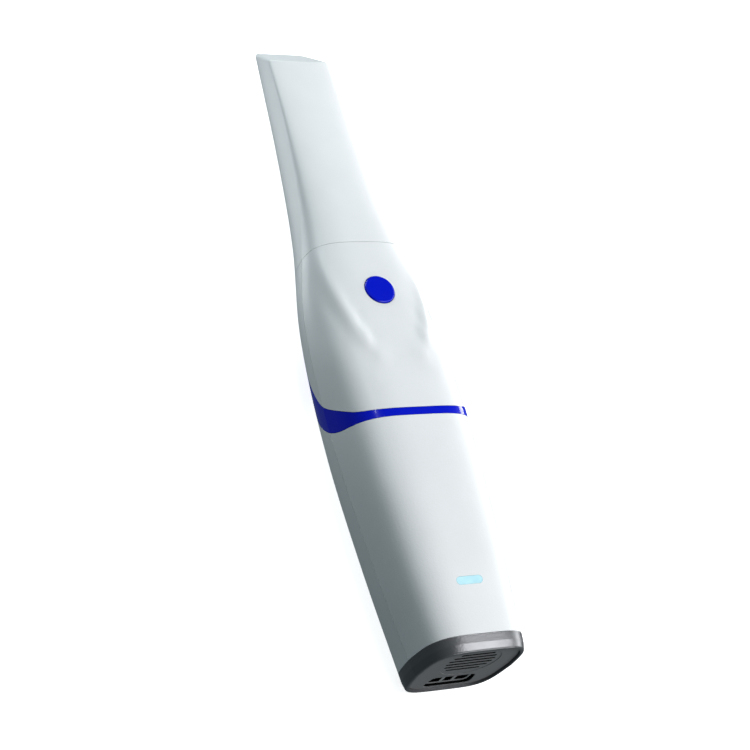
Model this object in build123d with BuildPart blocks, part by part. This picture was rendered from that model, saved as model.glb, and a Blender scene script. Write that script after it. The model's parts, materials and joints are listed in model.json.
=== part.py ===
from build123d import *
from math import cos, exp, hypot, pi, radians, sin, sqrt, tan
import os

# Intraoral camera: a dental scanning wand that lies on its flat underside.
# Millimetres. +Y runs from the cable end to the tip, +Z from the belly to the button,
# and X=0 is the plane of symmetry. A station is a distance from the rear end.

# ---------------------------------------------------------------- driving dimensions
LENGTH = 230.0
HALF = LENGTH / 2
CAP_LENGTH = 5.2
TIP_SEAM = 142.4
SEAM = 0.14  # visible gap between neighbouring covers
WALL = 2.0
TIP_WALL = 1.6
WIDE = 40.0  # reaches past both sides of the wand
HIGH, LOW = 45.0, -10.0  # reach past its top and bottom

# The outline's sections: how wide, high and square the wand is at each station.
STATIONS = [0, 40, 80, 120, 155, 190, 230]
HALF_WIDTH = [17.4, 20.7, 22.5, 21.4, 15.1, 11.9, 11.0]
TOP = [32.2, 34.4, 35.0, 33.4, 31.0, 29.0, 27.8]
BOTTOM = [-0.3, -0.3, -0.3, 1.1, 3.8, 7.1, 13.6]
PARTING = [16.0, 16.0, 16.4, 18.2, 22.7, 25.7, 26.2]
UPPER_SQUARENESS = [3.9, 3.8, 3.75, 3.65, 3.1, 2.7, 2.5]
LOWER_SQUARENESS = [4.4, 3.8, 3.2, 2.7, 3.5, 4.3, 5.3]
UPPER_LEAN, LOWER_LEAN = tan(radians(3)), tan(radians(6))
SECTION_STEP = 6.0
UPPER_POINTS, LOWER_POINTS = 35, 27
SHOULDER_FOCUS = 0.11  # draws the upper points together on the shoulders

# The plateau that carries the button runs back from the tip's flat top. A low crest borders
# it, highest towards its rear end, and the flank drops away beyond the crest at its front.
PLATEAU_END, PLATEAU_HALF_WIDTH = 97.0, 15.8
CREST_HEIGHT, CREST_INNER, CREST_OUTER = 0.95, 2.3, 4.5
FLANK_DROP, FLANK_SPREAD = 1.6, 3.6

# The blue band's two edges in side view, as (station, height) from top to bottom.
BAND_REAR = [(77.4, HIGH), (77.5, 34), (77.9, 29.6), (78.9, 23.4), (80.5, 18.8),
             (83.6, 14), (89.2, 9), (97, 4.5), (106, 0), (122, LOW)]
BAND_FRONT = [(80.2, HIGH), (80.3, 34), (81.5, 30.5), (83.3, 27.4), (86.8, 22),
              (90.7, 16.9), (97.2, 13.0), (105, 10), (116, 6), (136, LOW)]

# ---------------------------------------------------------------- outline of the wand


def row(station):
    """Y in the part's own frame of a station along the wand."""
    return station - HALF


def across(station):
    """Plane across the wand: its x is X, its y is Z and it faces the rear end."""
    return Plane.XZ.offset(-row(station))


def at(values, station):
    """One outline dimension at a station, on a smooth curve through its values."""
    last = len(STATIONS) - 1
    i = max([k for k in range(last) if STATIONS[k] <= station] + [0])
    slopes = []
    for k in (i, i + 1):
        before, after = max(k - 1, 0), min(k + 1, last)
        slopes.append((values[after] - values[before]) / (STATIONS[after] - STATIONS[before]))
    span = STATIONS[i + 1] - STATIONS[i]
    t = (station - STATIONS[i]) / span
    start = values[i] * (2 * t**3 - 3 * t**2 + 1) + slopes[0] * span * (t**3 - 2 * t**2 + t)
    end = values[i + 1] * (3 * t**2 - 2 * t**3) + slopes[1] * span * (t**3 - t**2)
    return start + end


def plateau(x, station):
    """How far the surface rises or falls beside the button's plateau."""
    run = (TIP_SEAM - station) / (TIP_SEAM - PLATEAU_END)
    if not 0 < run < 1:
        return 0
    beyond = abs(x) - PLATEAU_HALF_WIDTH * (1 - run**3) ** 0.45
    spread = CREST_INNER if beyond < 0 else CREST_OUTER
    crest = CREST_HEIGHT * sin(pi * run**1.7) * exp(-((beyond / spread) ** 2))
    fall = min(max(beyond / FLANK_SPREAD, 0), 1)
    drop = FLANK_DROP * 6.75 * run * (1 - run) ** 2 * fall**2 * (3 - 2 * fall)
    return crest - drop


def section_arc(station, inset, upper):
    """Points of a section's upper half from +X to -X, or of its lower half from -X to +X."""
    width = at(HALF_WIDTH, station) - inset
    top, bottom = at(TOP, station), at(BOTTOM, station)
    share = (at(PARTING, station) - bottom) / (top - bottom)
    top, bottom = top - inset, bottom + inset
    parting = bottom + share * (top - bottom)
    rise = top - parting if upper else bottom - parting
    square = at(UPPER_SQUARENESS if upper else LOWER_SQUARENESS, station)
    lean = UPPER_LEAN if upper else LOWER_LEAN
    steps = (UPPER_POINTS if upper else LOWER_POINTS) - 1
    points = []
    for i in range(steps + 1):
        angle = pi * i / steps
        if upper:
            angle += SHOULDER_FOCUS * sin(4 * angle)
        side, height = cos(angle), abs(sin(angle))
        reach = (abs(side) ** square + height**square) ** (-1 / square)
        z = rise * reach * height
        x = width * reach * side * (1 - lean * abs(z) / width)
        if upper:
            z += plateau(x, station) * min(1, 2 * z / rise)
        points.append((x if upper else -x, parting + z))
    return points


def spacing(points):
    """How far along a curve each of its points lies, from 0 to 1."""
    steps = [hypot(b[0] - a[0], b[1] - a[1]) for a, b in zip(points, points[1:])]
    return [sum(steps[:k]) / sum(steps) for k in range(len(points))]


# Every section shares the widest one's spacing, so that lofts between them stay light.
UPPER_SPACING = spacing(section_arc(STATIONS[2], 0, True))
LOWER_SPACING = spacing(section_arc(STATIONS[2], 0, False))


def section(station, inset):
    """The closed section at a station, moved inwards by inset."""
    upper = section_arc(station, inset, True)
    lower = section_arc(station, inset, False)
    lower[0], lower[-1] = upper[-1], upper[0]
    with BuildSketch(across(station)) as face:
        with BuildLine():
            add(Edge.make_spline([Vector(*p) for p in upper], parameters=UPPER_SPACING))
            add(Edge.make_spline([Vector(*p) for p in lower], parameters=LOWER_SPACING))
        make_face()
    return face.sketch


def wand(inset, first, last):
    """The wand's smooth outline between two stations, moved inwards by inset."""
    steps = max(2, round((last - first) / SECTION_STEP))
    stops = [first + (last - first) * k / steps for k in range(steps + 1)]
    with BuildPart() as solid:
        loft([section(station, inset) for station in stops])
    return solid.part


def sleeve_piece(station, inset, first, last):
    """A straight piece with the section of one station, from first to last."""
    face = section(station, inset).moved(Location((0, last - station, 0)))
    with BuildPart() as solid:
        extrude(face, amount=last - first)
    return solid.part


def side_curve(points, shift):
    """A line or smooth curve in side view through (station, height) points."""
    moved = [(row(station) + shift, height) for station, height in points]
    return Line(*moved) if len(moved) == 2 else Spline(*moved)


def slab(rear, front):
    """Everything between two side-view curves, half a seam inside each of them."""
    with BuildPart() as solid:
        with BuildSketch(Plane.YZ):
            with BuildLine():
                back = side_curve(rear, SEAM / 2)
                fore = side_curve(front, -SEAM / 2)
                Line(back @ 0, fore @ 0)
                Line(back @ 1, fore @ 1)
            make_face()
        extrude(amount=WIDE, both=True)
    return solid.part


def straight(station):
    """A straight cut across the wand, in side view."""
    return [(station, HIGH), (station, LOW)]


def parting_side(upper):
    """Everything above or below the parting line, half a seam away from it."""
    shift = SEAM / 2 if upper else -SEAM / 2
    stops = [-8 + SECTION_STEP * k for k in range(41)]
    curve = [(row(station), at(PARTING, station) + shift) for station in stops]
    far = HIGH if upper else LOW
    with BuildPart() as solid:
        with BuildSketch(Plane.YZ):
            with BuildLine():
                line = Spline(*curve)
                Polyline(line @ 1, (curve[-1][0], far), (curve[0][0], far), line @ 0)
            make_face()
        extrude(amount=WIDE, both=True)
    return solid.part


def rectangle(x0, x1, y0, y1):
    """A rectangle between two x and two y limits of the sketch."""
    with Locations(((x0 + x1) / 2, (y0 + y1) / 2)):
        Rectangle(x1 - x0, y1 - y0)


def board(x0, x1, y0, y1, z0, z1):
    """Adds a flat block between limits; y0 and y1 are stations."""
    with BuildSketch(Plane.XY.offset(z0)) as face:
        rectangle(x0, x1, row(y0), row(y1))
    extrude(face.sketch, amount=z1 - z0)


def upright(points, radius, z0, z1, mode=Mode.ADD):
    """Adds or cuts upright cylinders at (x, station) points."""
    with BuildSketch(Plane.XY.offset(z0)) as face:
        with Locations([(x, row(y)) for x, y in points]):
            Circle(radius)
    extrude(face.sketch, amount=z1 - z0, mode=mode)


def lengthwise(points, radius, first, last, mode=Mode.ADD):
    """Adds or cuts cylinders along the wand at (x, z) points, between two stations."""
    with BuildSketch(across(last)) as face:
        with Locations(points):
            Circle(radius)
    extrude(face.sketch, amount=last - first, mode=mode)


def write(piece, name):
    """Labels a finished piece and writes it to its own file."""
    piece.part.label = name
    export_step(piece.part, f"parts/{name}.step")


os.makedirs("parts", exist_ok=True)

outline = wand(0, -2, LENGTH + 2)
inside = wand(WALL, -3, LENGTH + 3)
above, below = parting_side(True), parting_side(False)
rear_zone = slab(straight(CAP_LENGTH), BAND_REAR)
band_zone = slab(BAND_REAR, BAND_FRONT)
front_zone = slab(BAND_FRONT, straight(TIP_SEAM))

with BuildPart() as body_wall:
    add(outline)
    add(inside, mode=Mode.SUBTRACT)
    split(bisect_by=Plane.XY, keep=Keep.TOP)

# ---------------------------------------------------------------- status light
LIGHT_STATION, LIGHT_LENGTH, LIGHT_WIDTH = 22.0, 9.0, 2.5
LIGHT_BOARD_TOP = 29.4
LIGHT_POSTS = [(-6.2, 18.2), (6.2, 18.2), (-6.2, 25.8), (6.2, 25.8)]


def light_slot(clearance):
    """The status light's pill shape, from its board's level to above the cover."""
    with BuildPart() as solid:
        with BuildSketch(Plane.XY.offset(LIGHT_BOARD_TOP + 0.9)):
            with Locations((0, row(LIGHT_STATION))):
                SlotOverall(LIGHT_LENGTH + 2 * clearance, LIGHT_WIDTH + 2 * clearance)
        extrude(amount=8)
    return solid.part


with BuildPart() as status_light:
    add(light_slot(0))
    add(outline, mode=Mode.INTERSECT)
write(status_light, "status_light")

with BuildPart() as status_board:
    board(-7.6, 7.6, 15.8, 28.2, LIGHT_BOARD_TOP - 0.8, LIGHT_BOARD_TOP)
write(status_board, "status_board")

with BuildPart() as status_leds:
    for x in (-2.2, 2.2):
        board(x - 1, x + 1, LIGHT_STATION - 0.6, LIGHT_STATION + 0.6,
              LIGHT_BOARD_TOP, LIGHT_BOARD_TOP + 0.7)
write(status_leds, "status_leds")

# ---------------------------------------------------------------- rear covers
CHASSIS_BOTTOM, CHASSIS_THICKNESS = 4.0, 1.5
CHASSIS_TOP = CHASSIS_BOTTOM + CHASSIS_THICKNESS
REAR_BOSSES = [(-9.0, 24.0), (9.0, 24.0), (-9.0, 66.0), (9.0, 66.0)]
BOSS_RADIUS, SCREW_RADIUS = 2.6, 1.0
PILOT_BOTTOM = 1.6

with BuildPart() as rear_upper_shell:
    add(body_wall.part)
    add(rear_zone, mode=Mode.INTERSECT)
    add(above, mode=Mode.INTERSECT)
    upright(LIGHT_POSTS, 1.1, LIGHT_BOARD_TOP, 32.3)
    add(light_slot(0.08), mode=Mode.SUBTRACT)
write(rear_upper_shell, "rear_upper_shell")

with BuildPart() as rear_lower_shell:
    add(body_wall.part)
    add(rear_zone, mode=Mode.INTERSECT)
    add(below, mode=Mode.INTERSECT)
    upright(REAR_BOSSES, BOSS_RADIUS, 1.0, CHASSIS_BOTTOM)
    upright(REAR_BOSSES, SCREW_RADIUS, PILOT_BOTTOM, CHASSIS_BOTTOM, Mode.SUBTRACT)
write(rear_lower_shell, "rear_lower_shell")

with BuildPart() as accent_band:
    add(body_wall.part)
    add(band_zone, mode=Mode.INTERSECT)
write(accent_band, "accent_band")

# ---------------------------------------------------------------- scan button
BUTTON_STATION, BUTTON_RADIUS, BUTTON_TILT = 123.5, 5.15, radians(3.3)
BUTTON_PROUD, BUTTON_GAP = 0.45, 0.22
BUTTON_POSTS = [(-4.6, -8.2), (4.6, -8.2), (-4.6, 8.2), (4.6, 8.2)]
SWITCH_TOP, SWITCH_BOTTOM, BUTTON_BOARD_BOTTOM = -4.9, -6.6, -7.6
PLUNGER_TOP = -4.22
button_face = Plane(origin=(0, row(BUTTON_STATION), at(TOP, BUTTON_STATION)),
                    x_dir=(1, 0, 0), z_dir=(0, sin(BUTTON_TILT), cos(BUTTON_TILT)))


def button_disc(radius, low, high, points=((0, 0),), mode=Mode.ADD):
    """Adds or cuts discs square to the button's face, between two depths."""
    with BuildSketch(button_face.offset(low)) as face:
        with Locations(*points):
            Circle(radius)
    extrude(face.sketch, amount=high - low, mode=mode)


with BuildPart() as scan_button:
    button_disc(BUTTON_RADIUS, -2.5, BUTTON_PROUD)
    rim = scan_button.edges().filter_by(GeomType.CIRCLE).sort_by(Axis.Z)[-1]
    fillet(rim, 0.4)
    button_disc(6.3, -2.85, -2.15)
    button_disc(1.5, PLUNGER_TOP + 0.02, -2.85)
write(scan_button, "scan_button")

with BuildPart() as button_seal:
    button_disc(7.5, -3.6, -2.15)
    button_disc(6.45, -3.6, -2.15, mode=Mode.SUBTRACT)
write(button_seal, "button_seal")

with BuildPart() as scan_switch:
    with BuildSketch(button_face.offset(SWITCH_BOTTOM)):
        Rectangle(6, 6)
    extrude(amount=SWITCH_TOP - SWITCH_BOTTOM)
    button_disc(1.66, -6.3, SWITCH_TOP, mode=Mode.SUBTRACT)
write(scan_switch, "scan_switch")

with BuildPart() as switch_plunger:
    button_disc(1.6, -5.5, PLUNGER_TOP)
write(switch_plunger, "switch_plunger")

with BuildPart() as button_board:
    with BuildSketch(button_face.offset(BUTTON_BOARD_BOTTOM)):
        Rectangle(13, 20)
        with Locations(*BUTTON_POSTS):
            Circle(0.7, mode=Mode.SUBTRACT)
    extrude(amount=SWITCH_BOTTOM - BUTTON_BOARD_BOTTOM)
write(button_board, "button_board")

with BuildPart() as button_board_screws:
    button_disc(1.2, BUTTON_BOARD_BOTTOM - 0.6, BUTTON_BOARD_BOTTOM, BUTTON_POSTS)
    button_disc(0.6, BUTTON_BOARD_BOTTOM, -4.0, BUTTON_POSTS)
write(button_board_screws, "button_board_screws")

# ---------------------------------------------------------------- front covers
with BuildPart() as front_upper_shell:
    add(body_wall.part)
    add(front_zone, mode=Mode.INTERSECT)
    add(above, mode=Mode.INTERSECT)
    button_disc(1.4, SWITCH_BOTTOM, -1.2, BUTTON_POSTS)
    button_disc(0.6, SWITCH_BOTTOM - 1, -4.0, BUTTON_POSTS, Mode.SUBTRACT)
    button_disc(BUTTON_RADIUS + BUTTON_GAP, -5, 5, mode=Mode.SUBTRACT)
write(front_upper_shell, "front_upper_shell")

with BuildPart() as front_lower_shell:
    add(body_wall.part)
    add(front_zone, mode=Mode.INTERSECT)
    add(below, mode=Mode.INTERSECT)
write(front_lower_shell, "front_lower_shell")

# ---------------------------------------------------------------- end cap and plate
PLATE_REAR, PLATE_FRONT = 0.8, 2.4
PLATE_INSET, RECESS_INSET, BORE_INSET = 1.62, 1.5, 2.3
CAP_TAPER_LENGTH, CAP_TAPER, CAP_ROUNDING = 2.6, 0.4, 0.7
VENT_Z, VENT_RADIUS, VENT_PITCH, VENT_WIDTH, VENT_COUNT = 20.8, 8.2, 2.24, 1.15, 6
VENT_DISC_RADIUS = 9.7
SOCKET_TOP, SOCKET_BOTTOM, SOCKET_HALF = 9.9, 2.6, 8.0

cap_zone = slab(straight(-SEAM / 2), straight(CAP_LENGTH))

with BuildPart() as cap_ring:
    add(outline)
    add(cap_zone, mode=Mode.INTERSECT)
    rear_face = cap_ring.faces().sort_by(Axis.Y)[0]
    chamfer(rear_face.edges(), CAP_TAPER, CAP_TAPER_LENGTH, reference=rear_face)
    fillet(cap_ring.faces().sort_by(Axis.Y)[0].edges(), CAP_ROUNDING)
    split(bisect_by=Plane.XY, keep=Keep.TOP)
    add(sleeve_piece(1.5, RECESS_INSET, -1, PLATE_FRONT), mode=Mode.SUBTRACT)
    add(sleeve_piece(3, BORE_INSET, -1, 8), mode=Mode.SUBTRACT)

with BuildPart() as cap_tabs:
    add(sleeve_piece(CAP_LENGTH, WALL + 0.1, CAP_LENGTH - 2, 10))
    add(sleeve_piece(CAP_LENGTH, WALL + 1.5, 0, 12), mode=Mode.SUBTRACT)
    with BuildSketch(across(12)):
        rectangle(-WIDE, WIDE, 10, 22)
    extrude(amount=12, mode=Mode.INTERSECT)

with BuildPart() as end_cap:
    add(cap_ring.part)
    add(cap_tabs.part)
write(end_cap, "end_cap")


def socket_shape(shrink, first, last):
    """The cable socket's D shape, flat on top and round below, from first to last."""
    top, bottom, half = SOCKET_TOP - shrink, SOCKET_BOTTOM + shrink, SOCKET_HALF - shrink
    corner = half - 1.5
    with BuildPart() as solid:
        with BuildSketch(across(last)):
            with BuildLine():
                Line((-corner, top), (corner, top))
                Spline((corner, top), (half, top - 2.4), (corner - 1.2, bottom),
                       tangents=[(1, -0.25), (-1, 0)])
                Line((corner - 1.2, bottom), (1.2 - corner, bottom))
                Spline((1.2 - corner, bottom), (-half, top - 2.4), (-corner, top),
                       tangents=[(-1, 0), (1, 0.25)])
            make_face()
        extrude(amount=last - first)
    return solid.part


FAN_HALF, FAN_REAR, FAN_FRONT = 8.2, 3.3, 10.3
FAN_SCREWS = [(x, VENT_Z + z) for x in (-6.9, 6.9) for z in (-6.9, 6.9)]

with BuildPart() as end_plate:
    add(sleeve_piece(1.5, PLATE_INSET, PLATE_REAR, PLATE_FRONT))
    lengthwise([(0, VENT_Z)], VENT_DISC_RADIUS, 0, PLATE_REAR + 0.15, Mode.SUBTRACT)
    lengthwise(FAN_SCREWS, 1.3, PLATE_FRONT - 0.2, FAN_REAR)
    lengthwise(FAN_SCREWS, 0.6, 1.6, FAN_REAR, Mode.SUBTRACT)
    with BuildSketch(across(FAN_FRONT)):
        for k in range(VENT_COUNT):
            rise = VENT_PITCH * (k - (VENT_COUNT - 1) / 2)
            with Locations((0, VENT_Z + rise)):
                SlotOverall(2 * sqrt(VENT_RADIUS**2 - rise**2), VENT_WIDTH)
    extrude(amount=FAN_FRONT, mode=Mode.SUBTRACT)
    add(socket_shape(0, 0, FAN_FRONT), mode=Mode.SUBTRACT)
write(end_plate, "end_plate")

# ---------------------------------------------------------------- cable socket
SOCKET_FACE, SOCKET_DEPTH, SOCKET_LENGTH = 1.7, 9.0, 11.0
RIB_X, RIB_THICKNESS = 2.05, 1.1
CAVITY_BOTTOM = 3.95

with BuildPart() as socket_cavities:
    add(socket_shape(1.1, 0, SOCKET_DEPTH))
    with BuildSketch(across(SOCKET_DEPTH)):
        with Locations((0, CAVITY_BOTTOM - 5)):
            Rectangle(30, 10)
        with Locations((-RIB_X, 7), (RIB_X, 7)):
            Rectangle(RIB_THICKNESS, 12)
    extrude(amount=SOCKET_DEPTH, mode=Mode.SUBTRACT)

with BuildPart() as cable_socket:
    with BuildSketch(across(SOCKET_LENGTH)):
        rectangle(-9, 9, 2.55, 11.2)
    extrude(amount=SOCKET_LENGTH - PLATE_FRONT - 0.05)
    add(socket_shape(0.4, SOCKET_FACE, PLATE_FRONT + 0.5))
    add(socket_cavities.part, mode=Mode.SUBTRACT)
write(cable_socket, "cable_socket")

PIN_RADIUS = 0.35
with BuildPart() as socket_pins:
    pins = [(x, z) for x in (-5.4, -3.8, 0, 3.8, 5.4) for z in (5.5, 7.6)]
    lengthwise(pins, PIN_RADIUS, 5.5, SOCKET_DEPTH)
write(socket_pins, "socket_pins")

# ---------------------------------------------------------------- cooling fan
FAN_BORE, ROTOR_RADIUS, HUB_RADIUS = 7.4, 6.8, 3.0
BLADES, BLADE_PITCH = 7, 35.0
ROTOR_REAR, ROTOR_FRONT, SPIDER_REAR = 4.3, 9.0, 9.6

with BuildPart() as dust_filter:
    lengthwise([(0, VENT_Z)], 8.3, 2.5, 3.1)
write(dust_filter, "dust_filter")

with BuildPart() as fan_frame:
    with BuildSketch(across(FAN_FRONT)):
        with Locations((0, VENT_Z)):
            RectangleRounded(2 * FAN_HALF, 2 * FAN_HALF, 1.2)
            Circle(FAN_BORE, mode=Mode.SUBTRACT)
    extrude(amount=FAN_FRONT - FAN_REAR)
    with BuildSketch(across(FAN_FRONT)):
        with Locations((0, VENT_Z)):
            Circle(HUB_RADIUS)
            with PolarLocations(FAN_BORE / 2, 3, start_angle=90):
                Rectangle(FAN_BORE + 0.8, 1.4)
    extrude(amount=FAN_FRONT - SPIDER_REAR)
    lengthwise(FAN_SCREWS, 0.7, 0, FAN_FRONT, Mode.SUBTRACT)
write(fan_frame, "fan_frame")

with BuildPart() as fan_stator:
    lengthwise([(0, VENT_Z)], 1.9, 5.7, SPIDER_REAR)
    lengthwise([(0, VENT_Z)], 0.55, 5.7, ROTOR_FRONT + 0.2, Mode.SUBTRACT)
write(fan_stator, "fan_stator")

with BuildPart() as fan_rotor:
    lengthwise([(0, VENT_Z)], HUB_RADIUS, ROTOR_REAR, ROTOR_FRONT)
    lengthwise([(0, VENT_Z)], 2.3, ROTOR_REAR + 0.8, ROTOR_FRONT, Mode.SUBTRACT)
    lengthwise([(0, VENT_Z)], 0.5, ROTOR_REAR + 0.5, ROTOR_FRONT)
    middle = (ROTOR_REAR + ROTOR_FRONT) / 2
    for k in range(BLADES):
        angle = 2 * pi * k / BLADES
        outward = Plane(origin=(0, row(middle), VENT_Z), x_dir=(0, 1, 0),
                        z_dir=(cos(angle), 0, sin(angle)))
        with BuildSketch(outward.offset(HUB_RADIUS - 0.3)):
            Rectangle(4.6, 0.6, rotation=BLADE_PITCH)
        extrude(amount=ROTOR_RADIUS - HUB_RADIUS + 0.3)
write(fan_rotor, "fan_rotor")

with BuildPart() as fan_screws:
    lengthwise(FAN_SCREWS, 1.1, FAN_FRONT, FAN_FRONT + 0.8)
    lengthwise(FAN_SCREWS, 0.55, 1.8, FAN_FRONT)
write(fan_screws, "fan_screws")

# ---------------------------------------------------------------- chassis and main board
CHASSIS_HALF = 13.0
BOARD_BOTTOM, BOARD_TOP = 10.5, 12.1
STANDOFFS = [(-9.2, 33.0), (9.2, 33.0), (-9.2, 58.0), (9.2, 58.0)]
BENCH_SCREWS = [(-10.5, 86.0), (10.5, 86.0), (-10.5, 95.0), (10.5, 95.0)]
PROCESSOR_TOP, PAD_TOP = 13.6, 14.1

with BuildPart() as chassis:
    board(-CHASSIS_HALF, CHASSIS_HALF, 16, 99, CHASSIS_BOTTOM, CHASSIS_TOP)
    for x in (-CHASSIS_HALF, CHASSIS_HALF - 1.5):
        board(x, x + 1.5, 16, 76, CHASSIS_TOP, 9)
    upright(REAR_BOSSES, SCREW_RADIUS + 0.1, 0, 8, Mode.SUBTRACT)
    upright(BENCH_SCREWS, SCREW_RADIUS, 0, 8, Mode.SUBTRACT)
write(chassis, "chassis")

with BuildPart() as chassis_screws:
    upright(REAR_BOSSES, 1.9, CHASSIS_TOP, CHASSIS_TOP + 1.2)
    upright(REAR_BOSSES, SCREW_RADIUS - 0.02, PILOT_BOTTOM + 0.3, CHASSIS_TOP)
write(chassis_screws, "chassis_screws")

with BuildPart() as standoffs:
    upright(STANDOFFS, 1.8, CHASSIS_TOP, BOARD_BOTTOM)
    upright(STANDOFFS, 0.8, CHASSIS_TOP + 0.5, BOARD_BOTTOM, Mode.SUBTRACT)
write(standoffs, "board_standoffs")

with BuildPart() as main_board:
    board(-14, 14, 18, 72, BOARD_BOTTOM, BOARD_TOP)
    upright(STANDOFFS, 0.9, 0, 20, Mode.SUBTRACT)
write(main_board, "main_board")

with BuildPart() as board_screws:
    upright(STANDOFFS, 1.7, BOARD_TOP, BOARD_TOP + 1)
    upright(STANDOFFS, 0.78, CHASSIS_TOP + 1, BOARD_TOP)
write(board_screws, "board_screws")

with BuildPart() as board_chips:
    board(-7, 7, 38, 52, BOARD_TOP, PROCESSOR_TOP)
    board(-12.5, -8.2, 42, 50, BOARD_TOP, BOARD_TOP + 1)
    board(8.2, 12.5, 42, 50, BOARD_TOP, BOARD_TOP + 1)
    board(-5, 5, 19, 23, BOARD_TOP, BOARD_TOP + 1.6)
    board(-12, -7.5, 63, 70, BOARD_TOP, BOARD_TOP + 1.2)
    board(7.5, 11.5, 64, 68, BOARD_TOP, BOARD_TOP + 0.9)
write(board_chips, "board_chips")

with BuildPart() as thermal_pad:
    board(-6.5, 6.5, 38.5, 51.5, PROCESSOR_TOP, PAD_TOP)
write(thermal_pad, "thermal_pad")

SINK_BASE_TOP, SINK_TOP, FINS = 16.6, 26.6, 8
with BuildPart() as heat_sink:
    board(-11.5, 11.5, 22, 66, PAD_TOP, SINK_BASE_TOP)
    for k in range(FINS):
        x = -10.9 + 21.8 * k / (FINS - 1)
        board(x - 0.6, x + 0.6, 22, 66, SINK_BASE_TOP, SINK_TOP)
write(heat_sink, "heat_sink")

# ---------------------------------------------------------------- optical unit
AXIS_Z = 19.5
BENCH_BOTTOM, BENCH_TOP = 8.0, 10.0
PROJECTOR_REAR, HOUSING_FRONT, BARREL_FRONT = 81.6, 97.0, 124.0
BARREL_RADIUS, BARREL_BORE = 5.0, 4.4
CAMERA_X, CAMERA_STATION, CAMERA_TOE_IN = 12.0, 114.0, radians(6.5)

with BuildPart() as optical_bench:
    board(-14, 14, 80, 126, BENCH_BOTTOM, BENCH_TOP)
    for x in (-12.8, 8.2):
        board(x, x + 4.6, 82, 98.5, CHASSIS_TOP, BENCH_BOTTOM)
    board(-7, 7, 83, 96, BENCH_TOP, AXIS_Z - 7.5)
    for x in (-CAMERA_X, CAMERA_X):
        board(x - 2.8, x + 2.8, 106.5, 110.5, BENCH_TOP, AXIS_Z - 5)
    upright(BENCH_SCREWS, SCREW_RADIUS + 0.1, 0, 12, Mode.SUBTRACT)
write(optical_bench, "optical_bench")

with BuildPart() as bench_screws:
    upright(BENCH_SCREWS, 1.9, BENCH_TOP, BENCH_TOP + 1.2)
    upright(BENCH_SCREWS, SCREW_RADIUS - 0.02, CHASSIS_BOTTOM, BENCH_TOP)
write(bench_screws, "bench_screws")

with BuildPart() as projector_board:
    with BuildSketch(across(PROJECTOR_REAR)):
        rectangle(-8, 8, AXIS_Z - 8, AXIS_Z + 8)
    extrude(amount=1.4)
write(projector_board, "projector_board")

with BuildPart() as projector_housing:
    with BuildSketch(across(HOUSING_FRONT)):
        with Locations((0, AXIS_Z)):
            RectangleRounded(15, 15, 1.5)
    extrude(amount=HOUSING_FRONT - PROJECTOR_REAR)
    lengthwise([(0, AXIS_Z)], BARREL_RADIUS, HOUSING_FRONT, BARREL_FRONT)
    lengthwise([(0, AXIS_Z)], BARREL_BORE, PROJECTOR_REAR, BARREL_FRONT, Mode.SUBTRACT)
write(projector_housing, "projector_housing")

with BuildPart() as projector_lens:
    with BuildSketch(across(BARREL_FRONT - 1)):
        with Locations((0, AXIS_Z)):
            Circle(BARREL_BORE)
    extrude(amount=3)
write(projector_lens, "projector_lens")

with BuildPart() as pattern_led:
    with BuildSketch(across(PROJECTOR_REAR + 1.5)):
        rectangle(-2.5, 2.5, AXIS_Z - 2.5, AXIS_Z + 2.5)
    extrude(amount=1.5)
write(pattern_led, "projector_led")


def camera_block(plane, width, rear, front, round_section=False, mode=Mode.ADD):
    """Adds or cuts a square or round length of a camera, measured along its own axis."""
    with BuildSketch(plane.offset(rear)) as face:
        Circle(width / 2) if round_section else Rectangle(width, width)
    extrude(face.sketch, amount=front - rear, mode=mode)


for side, sign in (("left", -1), ("right", 1)):
    aim = Plane(origin=(sign * CAMERA_X, row(CAMERA_STATION), AXIS_Z),
                x_dir=(0, 0, 1),
                z_dir=(-sign * sin(CAMERA_TOE_IN), cos(CAMERA_TOE_IN), 0))
    with BuildPart() as camera_board:
        camera_block(aim, 12, -10, -8.8)
    write(camera_board, f"{side}_camera_board")
    with BuildPart() as camera_barrel:
        camera_block(aim, 10, -8.8, -2.8)
        camera_block(aim, 6.8, -2.8, 11, round_section=True)
        camera_block(aim, 5.8, -2.8, 11, round_section=True, mode=Mode.SUBTRACT)
    write(camera_barrel, f"{side}_camera_barrel")
    with BuildPart() as camera_lens:
        camera_block(aim, 5.8, 8, 10.2, round_section=True)
    write(camera_lens, f"{side}_camera_lens")

with BuildPart() as ribbon_cable:
    with BuildSketch(Plane.YZ.offset(-5)):
        with BuildLine():
            FilletPolyline((row(64), BOARD_TOP + 0.25), (row(75), BOARD_TOP + 0.25),
                           (row(79.8), 17), (row(79.8), 25), radius=2)
        trace(line_width=0.3)
    extrude(amount=10)
write(ribbon_cable, "ribbon_cable")

# ---------------------------------------------------------------- optical nose
NOSE_REAR, NOSE_FRONT = 133.0, 205.0
NOSE_INSET, NOSE_INNER, COLLAR_INSET = 2.1, 3.3, 1.75
COLLAR_FRONT = 151.0
SEAT_REAR, WINDOW_REAR, WINDOW_FRONT = 202.4, 203.1, 204.6
DETENT_STATION, DETENT_Z = 147.0, 19.0
DETENT_REACH = at(HALF_WIDTH, DETENT_STATION) - COLLAR_INSET - 0.5


def detents(radius, reach):
    """Two spring detents, one on each side of the nose, out to a reach from its middle."""
    with BuildPart() as solid:
        for facing in (-1, 1):
            with BuildSketch(Plane.YZ.offset(facing * (DETENT_REACH - 1.6))) as face:
                with Locations((row(DETENT_STATION), DETENT_Z)):
                    Circle(radius)
            extrude(face.sketch, amount=facing * reach)
    return solid.part


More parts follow.
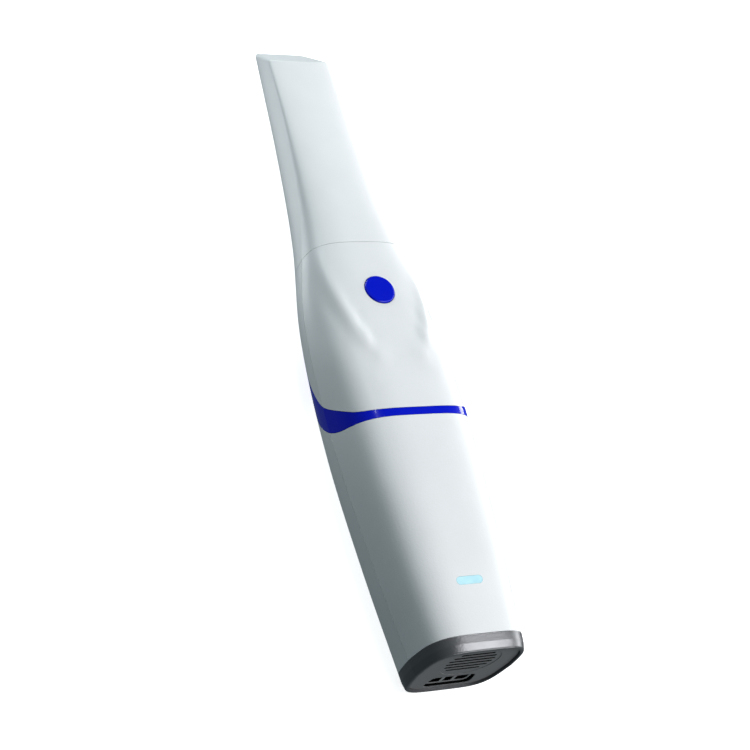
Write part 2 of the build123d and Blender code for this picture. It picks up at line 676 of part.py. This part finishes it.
with BuildPart() as optical_nose:
    add(wand(NOSE_INSET, NOSE_REAR, NOSE_FRONT))
    add(wand(COLLAR_INSET, TIP_SEAM + 0.1, COLLAR_FRONT))
    add(wand(NOSE_INNER, NOSE_REAR - 2, NOSE_FRONT + 2), mode=Mode.SUBTRACT)
    add(sleeve_piece(NOSE_FRONT, NOSE_INSET + 0.7, SEAT_REAR, NOSE_FRONT + 1),
        mode=Mode.SUBTRACT)
    add(detents(1.5, 4), mode=Mode.SUBTRACT)
write(optical_nose, "optical_nose")

with BuildPart() as tip_detents:
    add(detents(1.5, 1.5))
    add(detents(0.9, 1.75))
write(tip_detents, "tip_detents")

with BuildPart() as window_seal:
    add(sleeve_piece(NOSE_FRONT, NOSE_INSET + 0.8, SEAT_REAR, WINDOW_REAR))
    add(sleeve_piece(NOSE_FRONT, 3.9, 200, 206), mode=Mode.SUBTRACT)
write(window_seal, "window_seal")

with BuildPart() as window_heater:
    add(sleeve_piece(NOSE_FRONT, 4.0, WINDOW_REAR - 0.25, WINDOW_REAR))
    add(sleeve_piece(NOSE_FRONT, 4.9, 200, 206), mode=Mode.SUBTRACT)
write(window_heater, "window_heater")

with BuildPart() as nose_window:
    add(sleeve_piece(NOSE_FRONT, NOSE_INSET + 0.8, WINDOW_REAR, WINDOW_FRONT))
write(nose_window, "nose_window")

# ---------------------------------------------------------------- removable tip
BEVEL_TOP = 217.0  # station where the slanted front face meets the top
TIP_ROUNDING = 0.9
MIRROR_THICKNESS, MIRROR_WIDTH, MIRROR_LENGTH = 1.1, 14.4, 12.0
MIRROR_STATION, GLUE = 222.5, 0.05
WINDOW_HALF, WINDOW_START, WINDOW_END = 6.8, 211.0, 225.0


def tip_front(offset):
    """Everything of the tip behind its slanted front, moved back square to that front."""
    back = offset * sqrt(2)
    top = BEVEL_TOP + at(TOP, BEVEL_TOP) - HIGH - back
    with BuildPart() as solid:
        with BuildSketch(Plane.YZ):
            with BuildLine():
                Polyline((row(TIP_SEAM) + SEAM / 2, LOW), (row(TIP_SEAM) + SEAM / 2, HIGH),
                         (row(top), HIGH), (row(top + HIGH - 16.2), 16.2),
                         (row(LENGTH) - offset, 14.9), (row(LENGTH) - offset, LOW),
                         close=True)
            make_face()
        extrude(amount=WIDE, both=True)
    return solid.part


with BuildPart() as tip_inside:
    add(wand(TIP_WALL, TIP_SEAM - 3, LENGTH + 3))
    add(tip_front(TIP_WALL), mode=Mode.INTERSECT)

with BuildPart() as scan_tip:
    add(outline)
    add(tip_front(0), mode=Mode.INTERSECT)
    front = [e for e in scan_tip.edges() if e.bounding_box().min.Y > row(BEVEL_TOP - 2)]
    fillet(front, TIP_ROUNDING)
    add(tip_inside.part, mode=Mode.SUBTRACT)
    with BuildSketch(Plane.XY.offset(5)):
        with Locations((0, row((WINDOW_START + WINDOW_END) / 2))):
            RectangleRounded(2 * WINDOW_HALF, WINDOW_END - WINDOW_START, 2.5)
    extrude(amount=12, mode=Mode.SUBTRACT)
write(scan_tip, "scan_tip")

slope_height = BEVEL_TOP + at(TOP, BEVEL_TOP) - (TIP_WALL + GLUE) * sqrt(2) - MIRROR_STATION
mirror_back = Plane(origin=(0, row(MIRROR_STATION), slope_height),
                    x_dir=(1, 0, 0), z_dir=(0, -1, -1))
with BuildPart() as tip_mirror:
    with BuildSketch(mirror_back):
        RectangleRounded(MIRROR_WIDTH, MIRROR_LENGTH, 1)
    extrude(amount=MIRROR_THICKNESS)
write(tip_mirror, "tip_mirror")
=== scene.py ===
import json
import math

import bmesh
import bpy
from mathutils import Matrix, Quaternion, Vector


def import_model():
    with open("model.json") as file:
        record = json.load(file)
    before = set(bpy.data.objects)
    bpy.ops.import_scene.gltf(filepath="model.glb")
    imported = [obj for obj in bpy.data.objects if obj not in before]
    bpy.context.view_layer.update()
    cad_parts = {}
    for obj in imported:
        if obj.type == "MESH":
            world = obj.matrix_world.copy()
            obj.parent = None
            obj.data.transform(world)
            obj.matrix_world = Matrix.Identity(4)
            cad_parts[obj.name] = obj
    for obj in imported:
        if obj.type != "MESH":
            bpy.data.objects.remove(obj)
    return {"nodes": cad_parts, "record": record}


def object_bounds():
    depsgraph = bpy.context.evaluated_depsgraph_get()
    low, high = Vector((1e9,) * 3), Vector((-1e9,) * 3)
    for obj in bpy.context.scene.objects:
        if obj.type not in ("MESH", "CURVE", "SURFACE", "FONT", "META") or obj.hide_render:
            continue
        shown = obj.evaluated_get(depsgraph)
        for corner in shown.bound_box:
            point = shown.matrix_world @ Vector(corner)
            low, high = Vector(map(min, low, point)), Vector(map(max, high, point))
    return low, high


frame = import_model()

# An intraoral camera lying on a pale table. Metres throughout; +Y runs from the cable end to
# the mirror tip, +Z up through the scan button, and X=0 is the wand's middle plane.

MM = 0.001
WHITE_LINEAR, BLACK_LINEAR = (1, 1, 1, 1), (0, 0, 0, 1)
MIX_A, MIX_B, MIX_RESULT = 6, 7, 2  # the colour sockets of a Mix node
nodes = frame["nodes"]
scene = bpy.context.scene
cad_low, cad_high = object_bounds()

# How far the end plate's and the socket's faces lie inside the rear end, and the depth behind
# such a face over which its plastic is painted black, a painted shade in slots and cavities.
PLATE_FACE, SOCKET_FACE = cad_low.y + 0.95 * MM, cad_low.y + 1.7 * MM
PAINTED_SHADE_FROM, PAINTED_SHADE_TO = 0.02 * MM, 0.1 * MM

# What every moulded plastic shares: mottling, a painted highlight in spots along its edges,
# uneven gloss and slight waves.
MOTTLE_SIZE, MOTTLE_SHADE = 20 * MM, 0.955
EDGE_WIDTH, EDGE_SPOTS, EDGE_HIGHLIGHT, EDGE_POLISH = 0.25 * MM, 2 * MM, 0.35, 0.1
BEVEL_SAMPLES, EDGE_SHARP, EDGE_FLAT = 4, 0.75, 0.99
GLOSS_PATCH, GLOSS_SPREAD = 6 * MM, 0.04
WAVE_SIZE, WAVE_DEPTH, WAVE_STRENGTH = 30 * MM, 0.03 * MM, 0.3

TABLE_SIZE, TABLE_GAP, TABLE_GLOW = 6.0, 0.02 * MM, 0.78

# Each lamp's direction from the wand's middle, distance, size, watts and colour.
LAMPS = {
    "key": ((0.5, -0.2, 0.85), 1.1, 0.6, 9.3, (0.99, 0.985, 0.985)),
    "rim": ((1.0, 0.0, 0.25), 0.9, 0.4, 3, (1, 1, 1)),
    "rear_fill": ((0.5, -1.0, 0.2), 0.8, 0.4, 1.8, (1, 1, 1)),
    "front_fill": ((-0.4, 1.0, 0.3), 0.45, 0.25, 1.2, (0.9, 0.98, 1)),
    "streak": ((-0.14, 0.43, 0.89), 1.0, 0.12, 0.8, (1, 1, 1)),
    "low_strip": ((0.89, 0.44, 0.1), 0.5, 0.15, 0.75, (1, 1, 1)),
    "table_glow": ((-0.45, 0.8, -0.6), 0.23, 0.1, 0.085, (0.95, 0.98, 1))}
SURROUND_SEEN, SURROUND_LIGHT = (0.95, 0.95, 0.96, 1), (0.10, 0.127, 0.134, 1)

LENS_MM, SENSOR_MM = 101.08, 36
AZIMUTH, ELEVATION, ROLL = -49.38, 50.35, 39.80  # degrees
TARGET, TARGET_DISTANCE = Vector((0.00196, -0.01123, 0.01267)), 0.6792

# ---------------------------------------------------------------- node materials


class Look:
    """A Principled material with short ways to feed its sockets."""

    def __init__(self, name, **sockets):
        self.material = bpy.data.materials.new(name)
        self.material.use_nodes = True
        self.tree = self.material.node_tree
        self.shader = self.tree.nodes["Principled BSDF"]
        self.place = self.node("ShaderNodeTexCoord").outputs["Object"]
        self.bumps = None
        for socket, value in sockets.items():
            self.shader.inputs[socket.replace("_", " ")].default_value = value

    def node(self, kind, inputs=None, **settings):
        """A new node with its settings made and its inputs linked or set."""
        made = self.tree.nodes.new(kind)
        for key, value in settings.items():
            setattr(made, key, value)
        for socket, value in (inputs or {}).items():
            if isinstance(value, bpy.types.NodeSocket):
                self.tree.links.new(value, made.inputs[socket])
            else:
                made.inputs[socket].default_value = value
        return made

    def feed(self, socket, output):
        """Links an output to one of the shader's own sockets."""
        self.tree.links.new(output, self.shader.inputs[socket])

    def noise(self, size, detail=2.0, stretch=(1, 1, 1)):
        """Noise from 0 to 1 whose blobs are about size across, in metres."""
        mapped = self.node("ShaderNodeMapping", {"Vector": self.place, "Scale": stretch})
        made = self.node("ShaderNodeTexNoise", {
            "Vector": mapped.outputs["Vector"], "Scale": 1 / size, "Detail": detail})
        return made.outputs["Fac"]

    def ramp(self, value, low, high, start=0.3, end=0.7):
        """A value stretched from start..end to low..high."""
        return self.node("ShaderNodeMapRange", {
            "Value": value, "From Min": start, "From Max": end,
            "To Min": low, "To Max": high}).outputs["Result"]

    def math(self, operation, a, b):
        """Two numbers put through one arithmetic operation."""
        return self.node("ShaderNodeMath", {0: a, 1: b}, operation=operation).outputs[0]

    def mix(self, factor, a, b):
        """Colour a turning into colour b as factor goes from 0 to 1."""
        made = self.node("ShaderNodeMix", {"Factor": factor}, data_type="RGBA")
        for index, value in ((MIX_A, a), (MIX_B, b)):
            if isinstance(value, bpy.types.NodeSocket):
                self.tree.links.new(value, made.inputs[index])
            else:
                made.inputs[index].default_value = value
        return made.outputs[MIX_RESULT]

    def relief(self, height, depth, strength=1.0):
        """Adds bump of a real depth, in metres, on top of any already there."""
        inputs = {"Height": height, "Distance": depth, "Strength": strength}
        if self.bumps:
            inputs["Normal"] = self.bumps
        self.bumps = self.node("ShaderNodeBump", inputs).outputs["Normal"]
        self.feed("Normal", self.bumps)

    def edges(self, width):
        """0 on a flat face, towards 1 within width of an edge."""
        rounded = self.node("ShaderNodeBevel", {"Radius": width},
                            samples=BEVEL_SAMPLES).outputs["Normal"]
        flat = self.node("ShaderNodeNewGeometry").outputs["Normal"]
        agree = self.node("ShaderNodeVectorMath", {0: rounded, 1: flat},
                          operation="DOT_PRODUCT").outputs["Value"]
        return self.ramp(agree, 1.0, 0.0, EDGE_SHARP, EDGE_FLAT)


def rgb(red, green, blue):
    """A colour given as it looks on a screen, 0 to 255, as linear RGBA."""
    def linear(c):
        c /= 255
        return c / 12.92 if c <= 0.04045 else ((c + 0.055) / 1.055) ** 2.4
    return (linear(red), linear(green), linear(blue), 1)


def plastic(name, colour, rough, grain_size, grain_depth, edge_highlight_colour=WHITE_LINEAR, **sockets):
    """A moulded plastic: fine grain, faint mottling, uneven gloss and a painted highlight in
    spots along its edges.
    """
    look = Look(name, **sockets)
    darker = tuple(MOTTLE_SHADE * c for c in colour[:3]) + (1,)
    mottled = look.mix(look.ramp(look.noise(MOTTLE_SIZE, 4), 0, 1), darker, colour)
    # Painted highlight: spots along the edges turn towards a lighter colour and get a little
    # glossier.
    edge_highlight_mask = look.math("MULTIPLY", look.edges(EDGE_WIDTH), look.noise(EDGE_SPOTS, 3))
    look.feed("Base Color", look.mix(look.math("MULTIPLY", edge_highlight_mask, EDGE_HIGHLIGHT), mottled, edge_highlight_colour))
    patchy = look.ramp(look.noise(GLOSS_PATCH, 3), rough - GLOSS_SPREAD, rough + GLOSS_SPREAD)
    polish = look.math("MULTIPLY", edge_highlight_mask, EDGE_POLISH)
    look.feed("Roughness", look.math("SUBTRACT", patchy, polish))
    look.relief(look.noise(WAVE_SIZE, 1), WAVE_DEPTH, WAVE_STRENGTH)
    look.relief(look.noise(grain_size, 3), grain_depth)
    return look


def plastic_with_painted_cavity_shade(name, colour, face):
    """A moulded plastic painted black behind its face, inside slots and cavities: painted shade.
    """
    gloss, painted_shade_gloss = 0.3, 0.02
    look = plastic(name, colour, 0.55, 0.3 * MM, 0.008 * MM, edge_highlight_colour=rgb(150, 150, 150),
                   Specular_IOR_Level=gloss)
    tint = look.shader.inputs["Base Color"].links[0].from_socket
    along = look.node("ShaderNodeSeparateXYZ", {"Vector": look.place}).outputs["Y"]
    # Painted shade: deeper behind the face the colour turns black and the gloss goes.
    depth = look.ramp(along, 0, 1, face + PAINTED_SHADE_FROM, face + PAINTED_SHADE_TO)
    look.feed("Base Color", look.mix(depth, tint, rgb(4, 4, 5)))
    look.feed("Specular IOR Level", look.ramp(depth, gloss, painted_shade_gloss, 0, 1))
    return look


def metal(name, colour, rough, brushed=(1, 1, 1)):
    """A bare metal with fine tool marks along the axis that brushed leaves unscaled."""
    look = Look(name, Metallic=1.0)
    marks = look.noise(0.4 * MM, 4, brushed)
    duller = tuple(0.8 * c for c in colour[:3]) + (1,)
    look.feed("Base Color", look.mix(look.ramp(look.noise(0.004, 3), 0, 1), duller, colour))
    look.feed("Roughness", look.ramp(marks, rough - 0.08, rough + 0.1))
    look.relief(marks, 0.004 * MM)
    return look


def circuit_board():
    """Green solder mask over copper tracks, with bright pads."""
    look = Look("board_green", Coat_Weight=0.4, Coat_Roughness=0.15)
    cells = look.node("ShaderNodeTexBrick", {
        "Vector": look.place, "Scale": 260.0, "Mortar Size": 0.012, "Color1": BLACK_LINEAR,
        "Color2": (0.35, 0.35, 0.35, 1), "Mortar": WHITE_LINEAR}, offset=0.37)
    dots = look.node("ShaderNodeTexVoronoi", {"Vector": look.place, "Scale": 420.0})
    pads = look.ramp(dots.outputs["Distance"], 1, 0, 0.10, 0.13)
    mask = look.mix(cells.outputs["Color"], (0.004, 0.07, 0.035, 1), (0.02, 0.2, 0.09, 1))
    look.feed("Base Color", look.mix(pads, mask, (0.72, 0.55, 0.25, 1)))
    look.feed("Metallic", pads)
    look.feed("Roughness", look.ramp(look.noise(1 * MM, 3), 0.28, 0.42))
    look.relief(cells.outputs["Color"], 0.02 * MM)
    return look


def foam():
    """Open black filter mesh."""
    look = Look("filter_mesh", Roughness=0.95, Sheen_Weight=0.3)
    holes = look.node("ShaderNodeTexVoronoi", {"Vector": look.place, "Scale": 1800.0},
                      feature="DISTANCE_TO_EDGE").outputs["Distance"]
    thread = look.ramp(holes, 1, 0, 0.02, 0.16)
    look.feed("Base Color", look.mix(thread, (0.002, 0.002, 0.002, 1), (0.05, 0.05, 0.055, 1)))
    look.relief(thread, 0.15 * MM)
    return look


def silicone(name, colour):
    """Soft rubber with a dusty bloom."""
    look = Look(name, Sheen_Weight=0.2, Specular_IOR_Level=0.4)
    pale = tuple(min(1, 1.5 * c + 0.02) for c in colour[:3]) + (1,)
    look.feed("Base Color", look.mix(look.ramp(look.noise(0.7 * MM, 4), 0, 1), colour, pale))
    look.feed("Roughness", look.ramp(look.noise(0.3 * MM, 3), 0.62, 0.8))
    look.relief(look.noise(0.15 * MM, 2), 0.01 * MM)
    return look


def flex_print():
    """Amber polyimide over straight copper tracks."""
    look = Look("flex_amber", Coat_Weight=0.6, Coat_Roughness=0.1)
    tracks = look.node("ShaderNodeTexWave", {"Vector": look.place, "Scale": 330.0},
                       bands_direction="X").outputs["Fac"]
    lines = look.ramp(tracks, 0, 1, 0.35, 0.55)
    tint = look.mix(lines, (0.42, 0.16, 0.02, 1), (0.78, 0.36, 0.06, 1))
    look.feed("Base Color", tint)
    look.feed("Roughness", look.ramp(look.noise(0.8 * MM, 3), 0.22, 0.38))
    look.relief(lines, 0.01 * MM)
    return look


def coated_glass():
    """Clear glass with a faint coating."""
    look = Look("coated_glass", Roughness=0.02, IOR=1.5, Transmission_Weight=1.0)
    tint = look.ramp(look.noise(0.01, 2), 0, 1)
    look.feed("Base Color", look.mix(tint, (0.86, 0.93, 1.0, 1), (0.9, 0.97, 0.95, 1)))
    look.relief(look.noise(0.004, 2), 0.001 * MM, 0.2)
    return look


def mirror():
    """Front-silvered glass with faint cleaning marks."""
    look = Look("silvered_mirror", Metallic=1.0)
    streaks = look.noise(0.5 * MM, 4, (1, 0.15, 0.15))
    tint = look.ramp(streaks, 0, 1, 0.5, 0.8)
    look.feed("Base Color", look.mix(tint, (0.93, 0.94, 0.96, 1), (0.86, 0.88, 0.9, 1)))
    look.feed("Roughness", look.ramp(streaks, 0.01, 0.05, 0.5, 0.8))
    return look


def light_pipe():
    """Translucent pill, lit from below, with a faintly uneven glow."""
    look = Look("light_pipe_ice", Roughness=0.25, Coat_Weight=0.5, Coat_Roughness=0.1)
    glow = look.ramp(look.noise(3 * MM, 1), 0, 1)
    look.feed("Base Color", look.mix(glow, rgb(138, 192, 204), rgb(150, 202, 213)))
    look.feed("Emission Color", look.mix(glow, rgb(183, 214, 226), rgb(190, 220, 231)))
    look.shader.inputs["Emission Strength"].default_value = 0.4
    look.relief(look.noise(0.4 * MM, 2), 0.004 * MM)
    return look


WHITE = rgb(226, 229, 231)
satin = dict(Specular_IOR_Level=0.45, Coat_Weight=0.12, Coat_Roughness=0.3)
# The lighter colours given below are those of each plastic's painted edge highlight; unlisted
# ones use white.
rear_white = plastic("white_fine_grain", WHITE, 0.44, 0.6 * MM, 0.03 * MM, **satin)
front_white = plastic("white_satin", WHITE, 0.40, 0.4 * MM, 0.004 * MM, **satin)
blue = plastic("blue_gloss", rgb(0, 20, 196), 0.22, 0.3 * MM, 0.0006 * MM, edge_highlight_colour=rgb(60, 90, 235),
               Specular_IOR_Level=0.12, Coat_Weight=0.35, Coat_Roughness=0.05)
cap_grey = plastic("cap_metallic_grey", rgb(104, 105, 108), 0.33, 0.6 * MM, 0.05 * MM,
                   edge_highlight_colour=rgb(160, 160, 160), Metallic=0.6, Coat_Weight=0.1, Coat_Roughness=0.2)
plate_grey = plastic_with_painted_cavity_shade("plate_matte_grey_painted_shade", rgb(116, 117, 119), PLATE_FACE)
socket_grey_painted_shade = plastic_with_painted_cavity_shade("socket_grey_painted_shade", rgb(140, 141, 143), SOCKET_FACE)
black = plastic("black_moulding", rgb(34, 34, 36), 0.45, 0.3 * MM, 0.006 * MM,
                edge_highlight_colour=rgb(90, 90, 90))
chip = plastic("chip_epoxy", rgb(28, 28, 30), 0.6, 0.12 * MM, 0.006 * MM, edge_highlight_colour=rgb(70, 70, 70))
lamp = plastic("led_package", rgb(235, 228, 190), 0.3, 0.2 * MM, 0.002 * MM)
steel = metal("screw_steel", (0.56, 0.56, 0.58, 1), 0.3)
alloy = metal("machined_aluminium", (0.78, 0.79, 0.8, 1), 0.32, (1, 0.08, 1))
gold = metal("gold_plate", (0.9, 0.66, 0.27, 1), 0.2)
copper_film = metal("heater_film", (0.72, 0.42, 0.2, 1), 0.3, (0.1, 1, 1))
SLOT_LOOKS = {
    "shell_white": front_white, "blue_plastic": blue, "cap_plastic": cap_grey,
    "plate_plastic": plate_grey, "black_plastic": black, "light_pipe": light_pipe(),
    "circuit_board": circuit_board(), "led": lamp, "chip": chip,
    "silicone": silicone("silicone_black", (0.03, 0.03, 0.033, 1)), "foam": foam(),
    "gold_contact": gold, "steel": steel, "aluminium": alloy,
    "optical_glass": coated_glass(), "heater_film": copper_film, "flex": flex_print(),
    "mirror": mirror()}
NODE_LOOKS = {"rear_upper_shell": rear_white, "rear_lower_shell": rear_white,
              "cable_socket": socket_grey_painted_shade}


def dress(obj, look):
    """Gives an object one material and nothing else."""
    obj.data.materials.clear()
    obj.data.materials.append(look.material)


for subpart in frame["record"]["subparts"]:
    name = subpart["node"]
    dress(nodes[name], NODE_LOOKS.get(name, SLOT_LOOKS[subpart["material_slot"]]))

# ---------------------------------------------------------------- table, light and camera


def table():
    """A wide plain table top, just under the wand.

    It glows a little, casts no shadow and takes no part in bounces and reflections, so the
    lamp under it reaches the wand's lower facets.
    """
    mesh = bmesh.new()
    bmesh.ops.create_grid(mesh, x_segments=1, y_segments=1, size=TABLE_SIZE / 2)
    for vertex in mesh.verts:
        vertex.co.z = cad_low.z - TABLE_GAP
    data = bpy.data.meshes.new("table_top")
    mesh.to_mesh(data)
    mesh.free()
    obj = bpy.data.objects.new("table_top", data)
    scene.collection.objects.link(obj)
    look = Look("table_pale", Specular_IOR_Level=0.1)
    cloudy = look.noise(0.3, 3)
    look.feed("Base Color", look.mix(cloudy, rgb(243, 244, 246), rgb(246, 247, 248)))
    look.feed("Roughness", look.ramp(look.noise(0.05, 3), 0.82, 0.9))
    look.shader.inputs["Emission Color"].default_value = WHITE_LINEAR
    look.shader.inputs["Emission Strength"].default_value = TABLE_GLOW
    dress(obj, look)
    obj.visible_diffuse = obj.visible_glossy = obj.visible_shadow = False


def softbox(name, direction, distance, size, watts, colour):
    """A square area light facing the wand's middle; a downward direction puts it under the
    table, where it stands for light that a white ground would throw back."""
    lamp_data = bpy.data.lights.new(name, "AREA")
    lamp_data.size, lamp_data.energy, lamp_data.color = size, watts, colour
    obj = bpy.data.objects.new(name, lamp_data)
    obj.location = Vector(direction).normalized() * distance
    obj.rotation_mode = "QUATERNION"
    obj.rotation_quaternion = Vector(direction).to_track_quat("Z", "Y")
    scene.collection.objects.link(obj)


def world(seen, lighting):
    """A pale surround, seen at one brightness and lighting the wand at another."""
    made = bpy.data.worlds.new("surround")
    made.use_nodes = True
    tree = made.node_tree
    background = tree.nodes["Background"]
    rays = tree.nodes.new("ShaderNodeLightPath")
    shade = tree.nodes.new("ShaderNodeMix")
    shade.data_type = "RGBA"
    shade.inputs[MIX_A].default_value = lighting
    shade.inputs[MIX_B].default_value = seen
    tree.links.new(rays.outputs["Is Camera Ray"], shade.inputs["Factor"])
    tree.links.new(shade.outputs[MIX_RESULT], background.inputs["Color"])
    scene.world = made


def camera():
    """A long lens, rolled so that the wand leans across the frame."""
    data = bpy.data.cameras.new("camera")
    data.lens, data.sensor_width = LENS_MM, SENSOR_MM
    azimuth, elevation, roll = (math.radians(a) for a in (AZIMUTH, ELEVATION, ROLL))
    back = Vector((math.sin(azimuth) * math.cos(elevation),
                   -math.cos(azimuth) * math.cos(elevation), math.sin(elevation)))
    obj = bpy.data.objects.new("camera", data)
    obj.location = TARGET + back * TARGET_DISTANCE
    obj.rotation_mode = "QUATERNION"
    obj.rotation_quaternion = (-back).to_track_quat("-Z", "Y") @ Quaternion((0, 0, 1), roll)
    scene.collection.objects.link(obj)
    scene.camera = obj


table()
for lamp_name, lamp_setup in LAMPS.items():
    softbox(lamp_name, *lamp_setup)
world(SURROUND_SEEN, SURROUND_LIGHT)
scene.view_settings.view_transform = "Standard"
camera()
